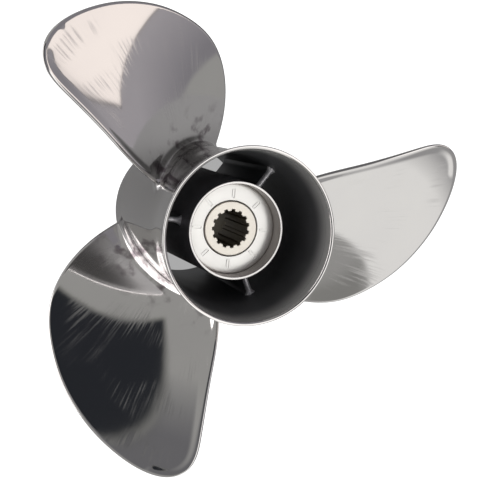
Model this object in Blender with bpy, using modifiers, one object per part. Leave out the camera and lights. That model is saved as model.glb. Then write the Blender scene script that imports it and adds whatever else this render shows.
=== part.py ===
"""Three-blade right-hand outboard motor propeller with exhaust through the hub.

The shaft axis is +Z, pointing aft. The frame's origin is the centre of the propeller's volume, on that axis.
Heights below are measured up the shaft axis from the forward end of the hub, in metres.
"""

import math

import bmesh
import bpy
import numpy as np

# Driving dimensions of the whole propeller.
TIP_RADIUS = 0.17145
BLADE_COUNT = 3
HUB_LENGTH = 0.152
BALANCE_HEIGHT = 0.0713
GAP = 0.0003

# Exhaust barrel: a tapered tube that flares out to a rolled lip at its aft end.
BARREL_RADIUS = 0.0504
BARREL_WAIST_RADIUS = 0.0508
BARREL_BORE_FORWARD = 0.0467
BARREL_BORE_WAIST = 0.0484
WAIST_HEIGHT = 0.109
BARREL_MIDDLE = 0.055
FLARE_MIDDLE = 0.127
FORWARD_CHAMFER = 0.001
RIM_RADIUS = 0.0570
RIM_WALL = 0.0022
LIP_LENGTH = 0.0065
LIP_ROLL = 0.0003
LIP_ROUND = 0.0010
LIP_ROUND_INSET = 0.0005
LIP_ROUND_DROP = 0.0003

# Inner hub tube, which the ribs carry inside the barrel.
TUBE_FORWARD = 0.012
TUBE_AFT = 0.1247
TUBE_RADIUS_FORWARD = 0.0338
TUBE_RADIUS_AFT = 0.0322
TUBE_BORE = 0.0304
TUBE_OUTER_CHAMFER = (0.0004, 0.0006)
TUBE_INNER_CHAMFER = (0.0006, 0.0008)

# Ribs between the inner hub tube and the barrel, halfway between the exhaust passages.
RIB_FORWARD = 0.017
RIB_AFT = 0.107
RIB_THICKNESS = 0.004
RIB_ROUND = 0.0012
FIRST_RIB_ANGLE = math.radians(30)

# Pressed-in bushing: rubber, its aft end ring with eight pressed marks, and the splined sleeve.
BUSHING_FORWARD = 0.030
BUSHING_FACE = 0.1131
END_RING_THICKNESS = 0.004
END_RING_BORE = 0.0186
END_RING_CHAMFER = 0.0018
END_RING_BORE_CHAMFER = 0.0004
RUBBER_BORE = 0.0183
MARK_COUNT = 8
MARK_RADIUS = 0.0233
MARK_LENGTH = 0.0070
MARK_WIDTH = 0.0024
MARK_DEPTH = 0.0008
FIRST_MARK_ANGLE = math.radians(-25.0)
SLEEVE_FORWARD = 0.024
SLEEVE_AFT = 0.1136
SLEEVE_RADIUS = 0.0180
SPLINE_TEETH = 15
SPLINE_MAJOR = 0.0127
SPLINE_MINOR = 0.0114
GROOVE_SHARE = 0.22
GROOVE_MOUTH = 1.3
GROOVE_FLOOR = 0.6
GROOVE_FLOOR_RISE = 0.0002
FIRST_GROOVE_ANGLE = math.radians(-10.6)

# Blade: a helical face whose pitch grows outwards, raked aft by an amount that eases off towards the tip.
TIP_ANGLE = FIRST_RIB_ANGLE - math.radians(38.7)
FACE_RADIUS = 0.0563
FACE_HEIGHT = HUB_LENGTH - 0.0690
FACE_PITCH = 0.348
PITCH_GROWTH = 0.910
RAKE_SLOPE = 0.453
RAKE_EASING = 1.647
BLADE_THICKNESS = 0.0085
EDGE_THICKNESS = 0.0024
TIP_THINNING = 0.75
SECTION_POWER = 0.7

# Outline of one blade, as radius and angle from its tip in degrees. It runs up the trailing edge, round the
# tip and down the leading edge.
BLADE_OUTLINE = (
    (0.0440, 15.6),
    (0.0673, 14.7),
    (0.1046, 11.0),
    (0.1401, 9.4),
    (0.1616, 7.4),
    (0.1664, 5.8),
    (0.1659, -10.6),
    (0.1586, -18.8),
    (0.1493, -27.2),
    (0.1393, -34.7),
    (0.1247, -43.9),
    (0.0754, -60.0),
    (0.0438, -69.0),
)
BLADE_ROWS = 17
BLADE_COLUMNS = 14
TIP_CLOSING = 0.985
ROW_POWER = 1.4
OUTLINE_STEPS = 600
CUTTER_BORE = 0.02
TURNED_STEPS = 72


def clear_scene():
    for old in list(bpy.data.objects):
        bpy.data.objects.remove(old, do_unlink=True)


def make_collection(name):
    made = bpy.data.collections.new(name)
    bpy.context.scene.collection.children.link(made)
    return made


def make_material(name, color, roughness, metallic):
    material = bpy.data.materials.new(name)
    material.use_nodes = True
    shader = material.node_tree.nodes["Principled BSDF"]
    shader.inputs["Base Color"].default_value = (*color, 1)
    shader.inputs["Roughness"].default_value = roughness
    shader.inputs["Metallic"].default_value = metallic
    return material


def add_object(name, mesh, collection, axis, material=None):
    """An object standing on the shaft axis, so that its own heights start at the hub's forward end."""
    made = bpy.data.objects.new(name, mesh)
    collection.objects.link(made)
    made.parent = axis
    if material:
        mesh.materials.append(material)
    return made


def lerp(start, end, share):
    return start + (end - start) * share


def share_between(value, start, end):
    return (value - start) / (end - start)


def turned(name, profile, collection, axis, material=None):
    """A ring turned from a closed profile of (radius, height) points, given down its outer side first."""
    mesh = bpy.data.meshes.new(name)
    shape = bmesh.new()
    corners = [shape.verts.new((radius, 0, height)) for radius, height in profile]
    for start, end in zip(corners, corners[1:] + corners[:1]):
        shape.edges.new((start, end))
    shape.to_mesh(mesh)
    shape.free()
    made = add_object(name, mesh, collection, axis, material)
    screw = made.modifiers.new("Screw", "SCREW")
    screw.axis = "Z"
    screw.angle = math.tau
    screw.steps = TURNED_STEPS
    screw.render_steps = TURNED_STEPS
    screw.use_merge_vertices = True
    screw.merge_threshold = 1e-5
    screw.use_smooth_shade = True
    return made


def barrel_radius(height):
    """Outer radius of the barrel: a slight taper to the waist, then the exhaust flare."""
    if height < WAIST_HEIGHT:
        return lerp(BARREL_RADIUS, BARREL_WAIST_RADIUS, height / WAIST_HEIGHT)
    return lerp(BARREL_WAIST_RADIUS, RIM_RADIUS, share_between(height, WAIST_HEIGHT, HUB_LENGTH))


def barrel_bore(height):
    """Inner radius of the barrel and its flare."""
    if height < WAIST_HEIGHT:
        return lerp(BARREL_BORE_FORWARD, BARREL_BORE_WAIST, height / WAIST_HEIGHT)
    return lerp(BARREL_BORE_WAIST, RIM_RADIUS - RIM_WALL, share_between(height, WAIST_HEIGHT, HUB_LENGTH))


def tube_radius(height):
    return lerp(TUBE_RADIUS_FORWARD, TUBE_RADIUS_AFT, share_between(height, TUBE_FORWARD, TUBE_AFT))


def make_barrel(collection, axis, steel):
    top = HUB_LENGTH - LIP_LENGTH - GAP
    outer = [(barrel_radius(height), height) for height in (top, FLARE_MIDDLE, WAIST_HEIGHT, BARREL_MIDDLE)]
    forward_edge = [
        (BARREL_RADIUS, FORWARD_CHAMFER),
        (BARREL_RADIUS - FORWARD_CHAMFER, 0),
        (BARREL_BORE_FORWARD, 0),
    ]
    inner = [(barrel_bore(height), height) for height in (BARREL_MIDDLE, WAIST_HEIGHT, FLARE_MIDDLE, top)]
    return turned("barrel", outer + forward_edge + inner, collection, axis, steel)


def make_flare_lip(collection, axis, steel):
    """The rolled band that ends the flare. It stands a little proud of the barrel outside."""
    foot = HUB_LENGTH - LIP_LENGTH
    outer = RIM_RADIUS + LIP_ROLL
    inner = RIM_RADIUS - RIM_WALL
    middle = (outer + inner) / 2
    profile = [
        (middle, HUB_LENGTH),
        (outer - LIP_ROUND_INSET, HUB_LENGTH - LIP_ROUND_DROP),
        (outer, HUB_LENGTH - LIP_ROUND),
        (barrel_radius(foot) + LIP_ROLL, foot),
        (barrel_bore(foot), foot),
        (inner, HUB_LENGTH - LIP_ROUND),
        (inner + LIP_ROUND_INSET, HUB_LENGTH - LIP_ROUND_DROP),
    ]
    return turned("flare_lip", profile, collection, axis, steel)


def make_inner_hub_tube(collection, axis, steel):
    outer_inset, outer_drop = TUBE_OUTER_CHAMFER
    inner_inset, inner_drop = TUBE_INNER_CHAMFER
    profile = [
        (TUBE_BORE + inner_inset, TUBE_AFT),
        (TUBE_RADIUS_AFT - outer_inset, TUBE_AFT),
        (TUBE_RADIUS_AFT, TUBE_AFT - outer_drop),
        (TUBE_RADIUS_FORWARD, TUBE_FORWARD),
        (TUBE_BORE, TUBE_FORWARD),
        (TUBE_BORE, TUBE_AFT - inner_drop),
    ]
    return turned("inner_hub_tube", profile, collection, axis, steel)


def make_rib(number, collection, axis, steel):
    """One plate from the inner hub tube to the barrel, its ends sloping with both of them."""
    name = f"rib_{number}"
    mesh = bpy.data.meshes.new(name)
    shape = bmesh.new()
    bmesh.ops.create_cube(shape, size=1)
    for corner in shape.verts:
        height = RIB_AFT if corner.co.z > 0 else RIB_FORWARD
        outward = corner.co.x > 0
        radius = barrel_bore(height) - GAP if outward else tube_radius(height) + GAP
        corner.co = (radius, corner.co.y * RIB_THICKNESS, height)
    aft_edges = [edge for edge in shape.edges if all(end.co.z == RIB_AFT for end in edge.verts)]
    long_edges = [edge for edge in aft_edges if abs(edge.verts[0].co.x - edge.verts[1].co.x) > RIB_THICKNESS]
    bmesh.ops.bevel(shape, geom=long_edges, offset=RIB_ROUND, segments=3, affect="EDGES", profile=0.5)
    shape.to_mesh(mesh)
    shape.free()
    made = add_object(name, mesh, collection, axis, steel)
    made.rotation_euler.z = FIRST_RIB_ANGLE + (number - 1) * math.tau / BLADE_COUNT
    return made


def make_bushing_rubber(collection, axis, rubber):
    outer = TUBE_BORE - GAP
    top = BUSHING_FACE - END_RING_THICKNESS - GAP
    profile = [(outer, top), (outer, BUSHING_FORWARD), (RUBBER_BORE, BUSHING_FORWARD), (RUBBER_BORE, top)]
    return turned("bushing_rubber", profile, collection, axis, rubber)


def stadium(curve_name, length, width, height):
    """A flat outline with round ends, lying along X, as a curve that is extruded to the height given."""
    curve = bpy.data.curves.new(curve_name, "CURVE")
    curve.dimensions = "2D"
    curve.fill_mode = "BOTH"
    curve.extrude = height / 2
    spline = curve.splines.new("POLY")
    steps = 4
    points = []
    for end in (1, -1):
        for step in range(steps + 1):
            turn = math.pi * (step / steps - 0.5)
            reach = (length - width) / 2 + width / 2 * math.cos(turn)
            points.append((end * reach, end * width / 2 * math.sin(turn)))
    spline.points.add(len(points) - 1)
    for point, (x, y) in zip(spline.points, points):
        point.co = (x, y, 0, 1)
    spline.use_cyclic_u = True
    return curve


def curve_to_mesh(curve, name):
    """The closed mesh of a filled curve, its loose caps welded to its sides."""
    guide = bpy.data.objects.new(name, curve)
    bpy.context.scene.collection.objects.link(guide)
    graph = bpy.context.evaluated_depsgraph_get()
    mesh = bpy.data.meshes.new_from_object(guide.evaluated_get(graph))
    bpy.data.objects.remove(guide, do_unlink=True)
    shape = bmesh.new()
    shape.from_mesh(mesh)
    bmesh.ops.remove_doubles(shape, verts=shape.verts, dist=1e-6)
    bmesh.ops.recalc_face_normals(shape, faces=shape.faces)
    shape.to_mesh(mesh)
    shape.free()
    mesh.materials.clear()
    return mesh


def make_bushing_end_ring(collection, cutters, axis, silver):
    outer = TUBE_BORE - GAP
    foot = BUSHING_FACE - END_RING_THICKNESS
    profile = [
        (outer - END_RING_CHAMFER, BUSHING_FACE),
        (outer, BUSHING_FACE - END_RING_CHAMFER),
        (outer, foot),
        (END_RING_BORE, foot),
        (END_RING_BORE, BUSHING_FACE - END_RING_BORE_CHAMFER),
        (END_RING_BORE + END_RING_BORE_CHAMFER, BUSHING_FACE),
    ]
    ring = turned("bushing_end_ring", profile, collection, axis, silver)
    mark = curve_to_mesh(stadium("mark", MARK_LENGTH, MARK_WIDTH, 2 * MARK_DEPTH), "mark")
    for number in range(MARK_COUNT):
        angle = FIRST_MARK_ANGLE + number * math.tau / MARK_COUNT
        cutter = add_object(f"mark_cutter_{number + 1}", mark, cutters, axis)
        cutter.location = (MARK_RADIUS * math.cos(angle), MARK_RADIUS * math.sin(angle), BUSHING_FACE)
        cutter.rotation_euler.z = angle
        cut(ring, cutter)
    return ring


def spline_outline():
    """The splined bore, tooth by tooth: each groove has a round bottom, and the land beside it is wider."""
    points = []
    groove_half = math.tau / SPLINE_TEETH * GROOVE_SHARE
    floor = SPLINE_MAJOR - GROOVE_FLOOR_RISE
    for tooth in range(SPLINE_TEETH):
        centre = FIRST_GROOVE_ANGLE + tooth * math.tau / SPLINE_TEETH
        for offset, radius in (
            (-GROOVE_MOUTH * groove_half, SPLINE_MINOR),
            (-GROOVE_FLOOR * groove_half, floor),
            (0, SPLINE_MAJOR),
            (GROOVE_FLOOR * groove_half, floor),
            (GROOVE_MOUTH * groove_half, SPLINE_MINOR),
        ):
            angle = centre + offset
            points.append((radius * math.cos(angle), radius * math.sin(angle)))
    return points


def make_splined_sleeve(collection, axis, bronze):
    curve = bpy.data.curves.new("sleeve_outline", "CURVE")
    curve.dimensions = "2D"
    curve.fill_mode = "BOTH"
    curve.extrude = (SLEEVE_AFT - SLEEVE_FORWARD) / 2
    outer = [
        (SLEEVE_RADIUS * math.cos(turn), SLEEVE_RADIUS * math.sin(turn))
        for turn in (math.tau * step / TURNED_STEPS for step in range(TURNED_STEPS))
    ]
    for outline in (outer, spline_outline()):
        spline = curve.splines.new("POLY")
        spline.points.add(len(outline) - 1)
        for point, (x, y) in zip(spline.points, outline):
            point.co = (x, y, 0, 1)
        spline.use_cyclic_u = True
    made = add_object("splined_sleeve", curve_to_mesh(curve, "splined_sleeve"), collection, axis, bronze)
    made.location.z = (SLEEVE_AFT + SLEEVE_FORWARD) / 2
    return made


def cut(target, cutter):
    cutter.hide_render = True
    cutter.display_type = "WIRE"
    boolean = target.modifiers.new("Cut", "BOOLEAN")
    boolean.operation = "DIFFERENCE"
    boolean.solver = "EXACT"
    boolean.object = cutter
    return boolean


def smooth_curve(points, count):
    """Evenly spaced points on the natural cubic spline through the given ones."""
    points = np.array(points)
    places = np.concatenate([[0], np.cumsum(np.linalg.norm(np.diff(points, axis=0), axis=1))])
    steps = np.diff(places)[:, None]
    slopes = np.diff(points, axis=0) / steps
    system = np.eye(len(points))
    bends = np.zeros_like(points)
    for knot in range(1, len(points) - 1):
        before, after = steps[knot - 1, 0], steps[knot, 0]
        system[knot, knot - 1 : knot + 2] = before, 2 * (before + after), after
        bends[knot] = 6 * (slopes[knot] - slopes[knot - 1])
    bends = np.linalg.solve(system, bends)
    fine = np.linspace(0, places[-1], 8 * count)
    knot = np.clip(np.searchsorted(places, fine) - 1, 0, len(points) - 2)
    step = steps[knot]
    left = (places[knot + 1] - fine)[:, None]
    right = (fine - places[knot])[:, None]
    run = (bends[knot] * left**3 + bends[knot + 1] * right**3) / (6 * step)
    run += (points[knot] / step - bends[knot] * step / 6) * left
    run += (points[knot + 1] / step - bends[knot + 1] * step / 6) * right
    travelled = np.concatenate([[0], np.cumsum(np.linalg.norm(np.diff(run, axis=0), axis=1))])
    even = np.linspace(0, travelled[-1], count)
    return np.stack([np.interp(even, travelled, run[:, side]) for side in (0, 1)], axis=1)


def blade_edges():
    """The trailing and the leading edge, each from the hub out to the tip, as rows of radius and angle."""
    corners = [
        (radius * math.cos(math.radians(angle)), radius * math.sin(math.radians(angle)))
        for radius, angle in BLADE_OUTLINE
    ]
    flat = smooth_curve(corners, OUTLINE_STEPS)
    outline = np.stack([np.hypot(flat[:, 0], flat[:, 1]), np.arctan2(flat[:, 1], flat[:, 0])], axis=1)
    tip = outline[:, 0].argmax()
    return outline[: tip + 1], outline[: tip - 1 : -1]


def along(edge, share):
    """The radius and angle at this share of the way along an edge."""
    place = share * (len(edge) - 1)
    return [float(np.interp(place, range(len(edge)), edge[:, side])) for side in (0, 1)]


def face_height(radius, angle):
    """Height of the blade's aft face: a helix of growing pitch, with the eased rake along the tip's line."""
    out = radius - FACE_RADIUS
    helix = angle * (FACE_PITCH + PITCH_GROWTH * out) / math.tau
    rake = RAKE_SLOPE * out - RAKE_EASING * out**2
    return FACE_HEIGHT + helix + rake


def blade_face():
    """The aft face of one blade as an open sheet, with each point's share of the full thickness."""
    shape = bmesh.new()
    bmesh.ops.create_grid(shape, x_segments=BLADE_ROWS, y_segments=BLADE_COLUMNS, size=0.5)
    trailing, leading = blade_edges()
    shares = {}
    shape.verts.ensure_lookup_table()
    for point in shape.verts:
        outward = 0.5 + point.co.x
        across = 0.5 - point.co.y
        travel = (1 - (1 - outward) ** ROW_POWER) * TIP_CLOSING
        ends = along(trailing, travel), along(leading, travel)
        radius, angle = (lerp(start, end, across) for start, end in zip(*ends))
        point.co = (radius * math.cos(angle), radius * math.sin(angle), face_height(radius, angle))
        thinning = 1 - TIP_THINNING * share_between(radius, BARREL_RADIUS, TIP_RADIUS)
        shares[point.index] = max(0.0, min(1.0, thinning * (4 * across * (1 - across)) ** SECTION_POWER))
    bmesh.ops.recalc_face_normals(shape, faces=shape.faces)
    if sum(face.normal.z for face in shape.faces) < 0:
        bmesh.ops.reverse_faces(shape, faces=shape.faces)
    return shape, shares


def make_blade(number, mesh, shares, cutter, collection, axis, steel):
    made = add_object(f"blade_{number}", mesh, collection, axis)
    if number == 1:
        mesh.materials.append(steel)
    group = made.vertex_groups.new(name="thickness")
    for index, share in shares.items():
        group.add([index], share, "REPLACE")
    shell = made.modifiers.new("Solidify", "SOLIDIFY")
    shell.thickness = BLADE_THICKNESS
    shell.offset = -1
    shell.use_even_offset = False
    shell.vertex_group = group.name
    shell.thickness_vertex_group = EDGE_THICKNESS / BLADE_THICKNESS
    made.rotation_euler.z = TIP_ANGLE + (number - 1) * math.tau / BLADE_COUNT
    cut(made, cutter)
    return made


def make_blades(collection, cutters, axis, steel):
    """Three blades from one mesh, each cut off along the barrel's outer surface."""
    top = HUB_LENGTH - LIP_LENGTH
    profile = [(barrel_radius(height) + GAP, height) for height in (top, WAIST_HEIGHT, 0.0)]
    profile += [(CUTTER_BORE, 0.0), (CUTTER_BORE, top)]
    cutter = turned("barrel_cutter", profile, cutters, axis)
    shape, shares = blade_face()
    mesh = bpy.data.meshes.new("blade")
    shape.to_mesh(mesh)
    shape.free()
    mesh.shade_smooth()
    return [
        make_blade(number, mesh, shares, cutter, collection, axis, steel)
        for number in range(1, BLADE_COUNT + 1)
    ]


def main():
    clear_scene()
    parts = make_collection("propeller")
    cutters = make_collection("cutters")
    cutters.hide_render = True
    axis = bpy.data.objects.new("shaft_axis", None)
    axis.location.z = -BALANCE_HEIGHT
    parts.objects.link(axis)
    polished = make_material("polished_steel", (0.58, 0.57, 0.56), 0.12, 1.0)
    cast = make_material("cast_steel", (0.30, 0.30, 0.31), 0.35, 1.0)
    silver = make_material("satin_silver", (0.82, 0.83, 0.83), 0.35, 1.0)
    bronze = make_material("pale_bronze", (0.80, 0.74, 0.62), 0.35, 1.0)
    rubber = make_material("black_rubber", (0.02, 0.02, 0.02), 0.75, 0.0)
    make_barrel(parts, axis, polished)
    make_flare_lip(parts, axis, polished)
    make_inner_hub_tube(parts, axis, cast)
    for number in range(1, BLADE_COUNT + 1):
        make_rib(number, parts, axis, cast)
    make_blades(parts, cutters, axis, polished)
    make_bushing_rubber(parts, axis, rubber)
    make_bushing_end_ring(parts, cutters, axis, silver)
    make_splined_sleeve(parts, axis, bronze)


main()
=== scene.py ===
"""The finished look of an outboard motor propeller: polished blades and barrel, a dark exhaust passage and a bushed, splined hub."""

import math

import bmesh
import bpy
import numpy as np
from mathutils import Matrix, Vector
from mathutils.kdtree import KDTree


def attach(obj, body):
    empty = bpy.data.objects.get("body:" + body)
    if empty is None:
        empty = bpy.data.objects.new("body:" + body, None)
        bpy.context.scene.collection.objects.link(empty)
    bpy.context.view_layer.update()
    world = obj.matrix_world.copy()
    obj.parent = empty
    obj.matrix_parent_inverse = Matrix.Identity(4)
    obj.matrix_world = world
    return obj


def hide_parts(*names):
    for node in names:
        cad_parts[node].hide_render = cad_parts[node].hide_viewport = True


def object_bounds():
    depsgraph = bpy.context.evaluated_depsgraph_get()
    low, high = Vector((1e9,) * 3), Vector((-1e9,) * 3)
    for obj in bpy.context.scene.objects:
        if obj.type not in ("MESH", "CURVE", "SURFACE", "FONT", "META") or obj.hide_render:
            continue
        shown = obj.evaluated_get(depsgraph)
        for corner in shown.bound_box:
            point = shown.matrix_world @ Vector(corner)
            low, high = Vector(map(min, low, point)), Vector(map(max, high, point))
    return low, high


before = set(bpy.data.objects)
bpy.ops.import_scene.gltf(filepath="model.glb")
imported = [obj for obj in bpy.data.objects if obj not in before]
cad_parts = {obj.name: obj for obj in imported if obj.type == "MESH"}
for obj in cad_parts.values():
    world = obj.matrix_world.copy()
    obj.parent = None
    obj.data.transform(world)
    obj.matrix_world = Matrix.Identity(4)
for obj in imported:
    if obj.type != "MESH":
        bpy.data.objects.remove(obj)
cad_low, cad_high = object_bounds()

# Studio: the propeller stands on its forward end on a pale bench, and the camera looks down into the exhaust from
# a little to one side. Broad pale screens stand round it, with an unlit ceiling, so the polished steel has something
# to mirror.
FORWARD_END = cad_low.z
RIM_HEIGHT = cad_high.z
CAMERA_AIM = Vector((-0.0074, 0.0009, RIM_HEIGHT))
CAMERA_AZIMUTH = 135.6
CAMERA_ELEVATION = 68.6
CAMERA_DISTANCE = 0.7078
CAMERA_ROLL = 113.15
CAMERA_LENS = 85.2
BENCH_SIZE = 30.0


def direction(azimuth, elevation):
    """Unit vector towards a compass angle, counted from +X towards +Y, and a height above the bench, in degrees."""
    turn, rise = math.radians(azimuth), math.radians(elevation)
    return Vector((math.cos(rise) * math.cos(turn), math.cos(rise) * math.sin(turn), math.sin(rise)))


def aim_camera():
    camera = bpy.data.objects.new("camera", bpy.data.cameras.new("camera"))
    bpy.context.scene.collection.objects.link(camera)
    camera.data.lens = CAMERA_LENS
    camera.data.sensor_width = 36
    camera.data.clip_start = 0.01
    towards = direction(CAMERA_AZIMUTH, CAMERA_ELEVATION)
    camera.location = CAMERA_AIM + CAMERA_DISTANCE * towards
    roll = Matrix.Rotation(math.radians(CAMERA_ROLL), 3, "Z").to_quaternion()
    camera.rotation_mode = "QUATERNION"
    camera.rotation_quaternion = (-towards).to_track_quat("-Z", "Y") @ roll
    bpy.context.scene.camera = camera


def new_material(name):
    """A material with its node tree and its Principled shader."""
    material = bpy.data.materials.new(name)
    material.use_nodes = True
    tree = material.node_tree
    return material, tree, tree.nodes["Principled BSDF"]


def math_node(tree, operation, first, second=None, clamp=False):
    node = tree.nodes.new("ShaderNodeMath")
    node.operation = operation
    node.use_clamp = clamp
    for socket, value in zip(node.inputs, (first, second)):
        if isinstance(value, (int, float)):
            socket.default_value = value
        elif value is not None:
            tree.links.new(value, socket)
    return node.outputs[0]


def vector_node(tree, operation, first, second):
    node = tree.nodes.new("ShaderNodeVectorMath")
    node.operation = operation
    for socket, value in zip(node.inputs, (first, second)):
        if isinstance(value, bpy.types.NodeSocket):
            tree.links.new(value, socket)
        else:
            socket.default_value = value
    return node.outputs["Value" if operation == "DOT_PRODUCT" else "Vector"]


def mix_color(tree, share, first, second):
    node = tree.nodes.new("ShaderNodeMix")
    node.data_type = "RGBA"
    for socket, value in zip((node.inputs[0], node.inputs[6], node.inputs[7]), (share, first, second)):
        if isinstance(value, bpy.types.NodeSocket):
            tree.links.new(value, socket)
        elif isinstance(value, (int, float)):
            socket.default_value = value
        else:
            socket.default_value = (*value, 1)
    return node.outputs[2]


def screen_group():
    """Mask of one flat four-sided screen: 1 for directions inside all of its edges, fading over a soft border."""
    group = bpy.data.node_groups.new("studio_screen", "ShaderNodeTree")
    group.interface.new_socket("Direction", in_out="INPUT", socket_type="NodeSocketVector")
    for number in range(4):
        group.interface.new_socket(f"Edge {number + 1}", in_out="INPUT", socket_type="NodeSocketVector")
    group.interface.new_socket("Softness", in_out="INPUT", socket_type="NodeSocketFloat")
    group.interface.new_socket("Mask", in_out="OUTPUT", socket_type="NodeSocketFloat")
    given = group.nodes.new("NodeGroupInput").outputs
    mask = 1.0
    for number in range(4):
        inside = vector_node(group, "DOT_PRODUCT", given["Direction"], given[f"Edge {number + 1}"])
        inside = math_node(group, "DIVIDE", inside, given["Softness"])
        inside = math_node(group, "ADD", inside, 0.5, clamp=True)
        mask = math_node(group, "MULTIPLY", inside, mask)
    group.links.new(mask, group.nodes.new("NodeGroupOutput").inputs["Mask"])
    return group


# Each screen: its corners as azimuth and elevation, its soft border, all in degrees, and its colour. A later screen
# hangs in front of an earlier one.
SCREENS = (
    ("lilac_wall", ((-25, -10), (-38, 26), (10, 80), (64, -10)), 1.5, (0.31, 0.30, 0.325)),
    ("wall_sheen", ((-20, -30), (-24, 40), (0, 40), (2, -30)), 14, (0.50, 0.48, 0.505)),
    ("window_frame", ((-10.4, 9.9), (-15.4, 29), (0, 60), (13, 38)), 0.4, (0.20, 0.19, 0.19)),
    ("window", ((-10.4, 10.8), (-14.8, 29), (0, 60), (13, 39)), 0.4, (1.50, 1.38, 1.30)),
    ("side_sheet", ((-108, 42), (-122, -10), (-62, -10), (-62, 60)), 1.5, (1.14, 1.14, 1.11)),
    ("sheet_fold", ((-94, -10), (-72, 42), (-50, 42), (-50, -10)), 7, (0.45, 0.45, 0.45)),
    ("door_shade", ((-113, 33), (-113, 60), (-150, 60), (-134, 33)), 3, (0.33, 0.33, 0.315)),
    ("key_window", ((112, 12), (106, -10), (184, -10), (184, 15)), 1.5, (3.2, 3.1, 3.05)),
    ("dark_rim", ((100, 26.4), (56, 42.3), (84, 66), (150, 67)), 0.6, (0.50, 0.50, 0.47)),
    ("dark_screen", ((100, 27.4), (57, 43), (84, 66), (148, 67)), 2.4, (0.028, 0.031, 0.037)),
    ("overhead", ((-95, 50), (-80, 80), (0, 80), (5, 50)), 5, (1.75, 1.73, 1.68)),
)
WALL_COLOR = (0.45, 0.45, 0.435)
CEILING_COLOR = (0.20, 0.20, 0.21)
CEILING_START = 45
CEILING_FULL = 60


def edge_planes(corners):
    """Inward normals of the planes through the eye and each edge of a screen."""
    points = [direction(*corner) for corner in corners]
    middle = sum(points, Vector()).normalized()
    planes = []
    for start, end in zip(points, points[1:] + points[:1]):
        plane = start.cross(end).normalized()
        planes.append(plane if plane.dot(middle) > 0 else -plane)
    return planes


def light_studio():
    world = bpy.data.worlds.new("studio")
    bpy.context.scene.world = world
    world.use_nodes = True
    tree = world.node_tree
    tree.nodes.clear()
    looking = tree.nodes.new("ShaderNodeTexCoord").outputs["Generated"]
    height = tree.nodes.new("ShaderNodeSeparateXYZ")
    tree.links.new(looking, height.inputs[0])
    low, high = math.sin(math.radians(CEILING_START)), math.sin(math.radians(CEILING_FULL))
    ceiling = math_node(tree, "DIVIDE", math_node(tree, "SUBTRACT", height.outputs["Z"], low), high - low, clamp=True)
    color = mix_color(tree, ceiling, WALL_COLOR, CEILING_COLOR)
    group = screen_group()
    for name, corners, softness, tint in SCREENS:
        node = tree.nodes.new("ShaderNodeGroup")
        node.node_tree = group
        node.label = name
        tree.links.new(looking, node.inputs["Direction"])
        for number, plane in enumerate(edge_planes(corners)):
            node.inputs[f"Edge {number + 1}"].default_value = plane
        node.inputs["Softness"].default_value = math.radians(softness)
        color = mix_color(tree, node.outputs["Mask"], color, tint)
    mirrored = tree.nodes.new("ShaderNodeBackground")
    tree.links.new(color, mirrored.inputs["Color"])
    backdrop = tree.nodes.new("ShaderNodeBackground")
    backdrop.inputs["Color"].default_value = (1, 1, 1, 1)
    chosen = tree.nodes.new("ShaderNodeMixShader")
    tree.links.new(tree.nodes.new("ShaderNodeLightPath").outputs["Is Camera Ray"], chosen.inputs[0])
    tree.links.new(mirrored.outputs[0], chosen.inputs[1])
    tree.links.new(backdrop.outputs[0], chosen.inputs[2])
    tree.links.new(chosen.outputs[0], tree.nodes.new("ShaderNodeOutputWorld").inputs["Surface"])
    bpy.context.scene.view_settings.view_transform = "Standard"


# Light that the bench sends into the steel is painted light and shade, set by azimuth from the hub: bright towards the
# low window, dim where the hub shades it, with a painted shade near the hub and a painted shadow pooled to one side.
BENCH_PAINTED_LIGHT = ((-180, 1.4), (-165, 0.6), (-120, 0.45), (-40, 0.36), (-12, 0.33), (-4, 0.22), (8, 0.01), (28, 0.01),
              (45, 0.1), (75, 0.45), (88, 0.72), (105, 0.75), (122, 1.1), (135, 2.2), (150, 2.6), (180, 1.6))
BENCH_NEAR_PAINTED_SHADE = 0.36
BENCH_NEAR = (0.10, 0.16)
BENCH_PAINTED_SHADOW_POOL = (-0.13, 0.25)
BENCH_PAINTED_SHADOW_POOL_SIZE = 0.50
HUB_SHADE_RADIUS = 0.049
BENCH_CAMERA_GLOW = 1.2
HUB_PAINTED_SHADE_GLOW = 0.40


def smooth_share(tree, value, start, end):
    """Rises smoothly from 0 to 1 as the value goes from start to end."""
    node = tree.nodes.new("ShaderNodeMapRange")
    node.interpolation_type = "SMOOTHSTEP"
    tree.links.new(value, node.inputs["Value"])
    node.inputs["From Min"].default_value = start
    node.inputs["From Max"].default_value = end
    return node.outputs["Result"]


def mix_value(tree, share, first, second):
    node = tree.nodes.new("ShaderNodeMix")
    for socket, value in zip(node.inputs[:1] + node.inputs[2:4], (share, first, second)):
        if isinstance(value, bpy.types.NodeSocket):
            tree.links.new(value, socket)
        else:
            socket.default_value = value
    return node.outputs[0]


def value_ramp(tree, share, stops):
    """A smooth run of values between (place, value) stops, with places from 0 to 1."""
    node = tree.nodes.new("ShaderNodeFloatCurve")
    tree.links.new(share, node.inputs["Value"])
    curve = node.mapping.curves[0]
    top = max(value for _, value in stops)
    curve.points[0].location = (stops[0][0], stops[0][1] / top)
    curve.points[1].location = (stops[-1][0], stops[-1][1] / top)
    for place, value in stops[1:-1]:
        curve.points.new(place, value / top)
    for point in curve.points:
        point.handle_type = "AUTO_CLAMPED"
    node.mapping.update()
    return math_node(tree, "MULTIPLY", node.outputs["Value"], top)


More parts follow.
